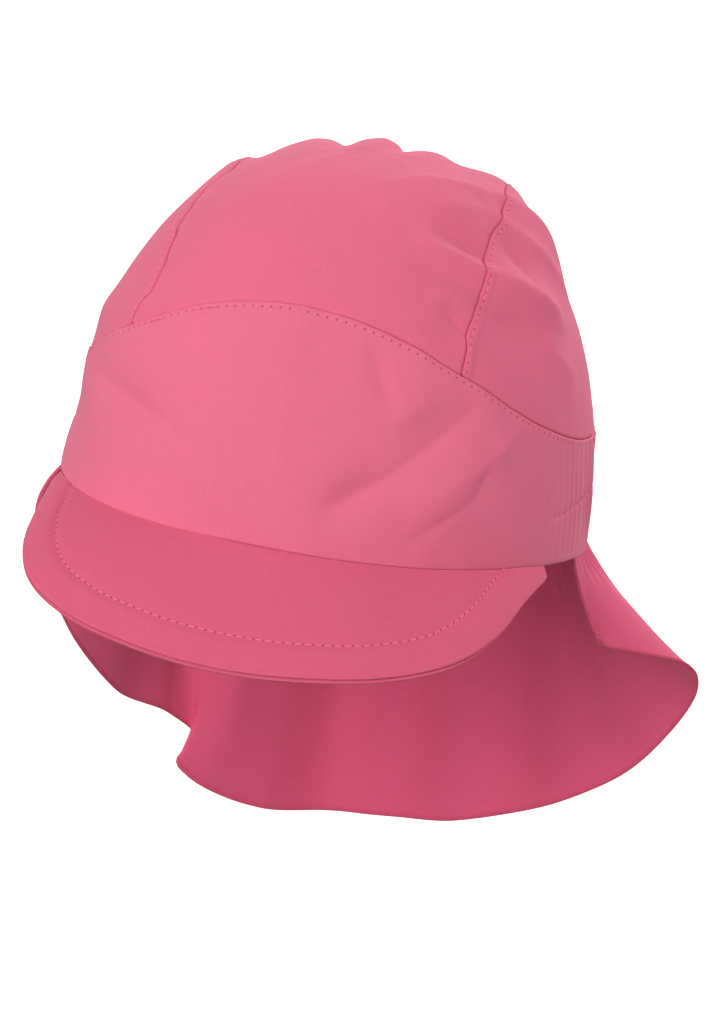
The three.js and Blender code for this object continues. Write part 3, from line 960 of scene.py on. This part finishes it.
class Nodes:
    """Short calls for making and linking shader nodes."""

    def __init__(self, material):
        self.tree = material.node_tree

    def make(self, kind, **settings):
        node = self.tree.nodes.new(kind)
        for key, value in settings.items():
            setattr(node, key, value)
        return node

    def link(self, source, target):
        self.tree.links.new(source, target)

    def math(self, operation, first, second):
        node = self.make("ShaderNodeMath", operation=operation)
        for socket, value in zip(node.inputs, (first, second)):
            if isinstance(value, (int, float)):
                socket.default_value = value
            else:
                self.link(value, socket)
        return node.outputs[0]

    def noise(self, place, stretch, detail=2.0):
        """Noise over the flat cloth, with features of the given size in millimetres along u and v."""
        scale = self.make("ShaderNodeMapping")
        scale.inputs["Scale"].default_value = (1000 / stretch[0], 1000 / stretch[1], 1)
        self.link(place, scale.inputs["Vector"])
        node = self.make("ShaderNodeTexNoise", noise_dimensions="2D")
        node.inputs["Scale"].default_value = 1
        node.inputs["Detail"].default_value = detail
        self.link(scale.outputs[0], node.inputs["Vector"])
        return node.outputs["Fac"]

    def needle_hole_painted_shade(self):
        """Mask of the painted shade in the needle holes: one in the holes between the stitches of a row,
        nothing elsewhere.
        """
        parts = self.make("ShaderNodeSeparateXYZ")
        self.link(self.make("ShaderNodeUVMap", uv_map="sewing").outputs[0], parts.inputs[0])
        along = self.math("SUBTRACT", parts.outputs[0], self.math("ROUND", parts.outputs[0], 0))
        along = self.math("MULTIPLY", along, STITCH_PITCH)
        distance = self.math("SQRT", self.math("ADD", self.math("POWER", along, 2.0),
                                               self.math("POWER", parts.outputs[1], 2.0)), 0)
        edge = self.make("ShaderNodeMapRange", interpolation_type="SMOOTHSTEP")
        edge.inputs["From Min"].default_value = HOLE_RADIUS * 0.4
        edge.inputs["From Max"].default_value = HOLE_RADIUS * 1.3
        edge.inputs["To Min"].default_value = 1
        edge.inputs["To Max"].default_value = 0
        self.link(distance, edge.inputs["Value"])
        return edge.outputs[0]

    def blend(self, factor, low, high):
        node = self.make("ShaderNodeMix", data_type="RGBA", clamp_factor=False)
        self.link(factor, node.inputs["Factor"])
        node.inputs[6].default_value = (*low, 1)
        node.inputs[7].default_value = (*high, 1)
        return node.outputs[2]


def cotton(name, colour, yarn=YARN_PITCH, contrast=0.10):
    """Plain-woven cotton: crossing yarns of uneven thickness, matte, with a faint bloom, and painted shade
    in its needle holes.
    """
    material = bpy.data.materials.new(name)
    material.use_nodes = True
    nodes = Nodes(material)
    shader = material.node_tree.nodes["Principled BSDF"]
    place = nodes.make("ShaderNodeUVMap", uv_map="cloth").outputs[0]
    parts = nodes.make("ShaderNodeSeparateXYZ")
    nodes.link(place, parts.inputs[0])
    turns = 2 * math.pi * 1000 / (2 * yarn)
    warp = nodes.math("SINE", nodes.math("MULTIPLY", parts.outputs[0], turns), 0)
    weft = nodes.math("SINE", nodes.math("MULTIPLY", parts.outputs[1], turns), 0)
    weave = nodes.math("MULTIPLY", warp, weft)
    slub_u = nodes.noise(place, (0.6, 7))
    slub_v = nodes.noise(place, (7, 0.6))
    slub = nodes.math("ADD", slub_u, slub_v)
    cloud = nodes.noise(place, (26, 26), 3)
    tone = nodes.math("ADD", nodes.math("MULTIPLY", slub, 0.30), nodes.math("MULTIPLY", cloud, 0.28))
    # Painted shade: the cloth is darkened in the needle holes of its sewing rows.
    holes = nodes.math("MULTIPLY", nodes.needle_hole_painted_shade(), HOLE_PAINTED_SHADE / contrast)
    tone = nodes.math("SUBTRACT", tone, holes)
    base = np.array(linear(colour))
    mixed = nodes.blend(tone, base * (1 - contrast), np.minimum(base * (1 + contrast), 1))
    nodes.link(mixed, shader.inputs["Base Color"])
    rough = nodes.make("ShaderNodeMapRange")
    rough.inputs["To Min"].default_value = 0.80
    rough.inputs["To Max"].default_value = 0.95
    nodes.link(slub_u, rough.inputs["Value"])
    nodes.link(rough.outputs[0], shader.inputs["Roughness"])
    height = nodes.math("ADD", nodes.math("MULTIPLY", weave, 0.12), slub)
    bump = nodes.make("ShaderNodeBump")
    bump.inputs["Strength"].default_value = 0.25
    bump.inputs["Distance"].default_value = 0.00010
    nodes.link(height, bump.inputs["Height"])
    nodes.link(bump.outputs[0], shader.inputs["Normal"])
    shader.inputs["Specular IOR Level"].default_value = 0.18
    shader.inputs["Sheen Weight"].default_value = 0.12
    shader.inputs["Sheen Roughness"].default_value = 0.45
    shader.inputs["Sheen Tint"].default_value = (1.0, 0.75, 0.80, 1)
    return material


def dress(piece, material, node=None):
    piece.data.materials.append(material)
    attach(piece, "root")
    if node:
        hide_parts(node)
    return piece


def dress_cap():
    # The peak and flap materials carry painted shade in their colours.
    crown, front, peak, flap = (cotton(name, colour) for name, colour in CLOTH_COLOURS.items())
    thread = cotton("sewing_thread", SEWING_THREAD_COLOUR, yarn=THREAD_YARN_PITCH)
    edge_thread = cotton("edge_thread", EDGE_THREAD_COLOUR, yarn=THREAD_YARN_PITCH)

    dress(crown_center(), crown, "crown_center")
    for name in ("left", "right"):
        panel, row = crown_side(name)
        dress(panel, crown, "crown_" + name)
        dress(threads("crown_" + name + "_stitches", *row, THREAD), thread)
    near, far = SIDE_SEAM_ANGLE - SIDE_SEAM_TRIM, SIDE_SEAM_ANGLE + SIDE_SEAM_TRIM
    front_cloth = band("front_band_cloth", -near, near, FRONT_BAND_LENGTH, FRONT_BAND_HEIGHT)
    back_cloth = band("back_band_cloth", far, 360 - far, BACK_BAND_LENGTH, BACK_BAND_HEIGHT)
    dress(front_cloth, front, "front_band")
    dress(back_cloth, front, "back_band")
    dress(threads("band_stitches", *band_stitches(), THREAD), thread)
    upper, lower, row = peak_layers()
    dress(upper, peak, "peak_top")
    dress(lower, peak, "peak_under")
    dress(threads("peak_stitches", *row, THREAD), thread)
    cloth = dress(neck_flap(), flap, "neck_flap")
    hem = dress(threads("flap_overlock", *overlock(), OVERLOCK_THREAD, sides=5), edge_thread)


# Camera, light and floor

def view_axes():
    azimuth, elevation, roll = (math.radians(a) for a in (VIEW_AZIMUTH, VIEW_ELEVATION, VIEW_ROLL))
    back = Vector((
        math.sin(azimuth) * math.cos(elevation),
        -math.cos(azimuth) * math.cos(elevation),
        math.sin(elevation),
    ))
    level = Vector((math.cos(azimuth), math.sin(azimuth), 0))
    upright = back.cross(level)
    right = level * math.cos(roll) + upright * math.sin(roll)
    up = upright * math.cos(roll) - level * math.sin(roll)
    return right, up, back


def add_camera():
    right, up, back = view_axes()
    across = (RIM_CENTRE_PIXEL[0] - IMAGE_SIZE[0] / 2) * MM_PER_PIXEL
    down = (RIM_CENTRE_PIXEL[1] - IMAGE_SIZE[1] / 2) * MM_PER_PIXEL
    target = up * down - right * across
    camera = bpy.data.cameras.new("camera")
    camera.sensor_width = SENSOR
    camera.lens = VIEW_DISTANCE / MM_PER_PIXEL * SENSOR / max(IMAGE_SIZE)
    camera.clip_start = 0.01
    camera.clip_end = 50
    holder = bpy.data.objects.new("camera", camera)
    turn = Matrix((right, up, back)).transposed().to_4x4()
    holder.matrix_world = Matrix.Translation((target + back * VIEW_DISTANCE) * MM) @ turn
    bpy.context.scene.collection.objects.link(holder)
    bpy.context.scene.camera = holder


def add_light(name, azimuth, elevation, strength):
    """A wide, even light from far off."""
    turn, rise = math.radians(VIEW_AZIMUTH + azimuth), math.radians(elevation)
    towards = (math.sin(turn) * math.cos(rise), -math.cos(turn) * math.cos(rise), math.sin(rise))
    light = bpy.data.lights.new(name, "SUN")
    light.angle = math.radians(LIGHT_SPREAD)
    light.energy = strength
    holder = bpy.data.objects.new(name, light)
    holder.rotation_mode = "QUATERNION"
    holder.rotation_quaternion = Vector(towards).to_track_quat("Z", "Y")
    bpy.context.scene.collection.objects.link(holder)


def add_studio(lowest):
    mesh = bpy.data.meshes.new("floor")
    sides = 64
    turns = [2 * math.pi * k / sides for k in range(sides)]
    levels = (lowest - FLOOR_DROP, lowest - FLOOR_DROP + WALL_HEIGHT)
    rims = [(FLOOR_RADIUS * math.cos(t), FLOOR_RADIUS * math.sin(t), z) for z in levels for t in turns]
    wall = [(k, sides + k, sides + (k + 1) % sides, (k + 1) % sides) for k in range(sides)]
    mesh.from_pydata(rims, [], [list(range(sides))] + wall)
    floor = bpy.data.objects.new("floor", mesh)
    bpy.context.scene.collection.objects.link(floor)
    paper = bpy.data.materials.new("paper")
    paper.use_nodes = True
    shader = paper.node_tree.nodes["Principled BSDF"]
    shader.inputs["Base Color"].default_value = (0.5, 0.5, 0.5, 1)
    shader.inputs["Emission Color"].default_value = (1, 1, 1, 1)
    shader.inputs["Emission Strength"].default_value = FLOOR_GLOW
    shader.inputs["Roughness"].default_value = 1.0
    shader.inputs["Specular IOR Level"].default_value = 0.0
    mesh.materials.append(paper)
    floor.visible_diffuse = False
    floor.visible_shadow = False
    world = bpy.data.worlds.new("studio")
    bpy.context.scene.world = world
    world.use_nodes = True
    sky = world.node_tree.nodes["Background"]
    sky.inputs["Color"].default_value = (1, 1, 1, 1)
    sky.inputs["Strength"].default_value = SKY_STRENGTH
    for name, azimuth, elevation, strength in LIGHT_ROWS:
        add_light(name, azimuth, elevation, strength)


add_camera()
dress_cap()
add_studio(SOLID_BOX[0][2])
bpy.context.scene.view_settings.view_transform = "Standard"
bpy.context.scene.view_settings.gamma = VIEW_GAMMA
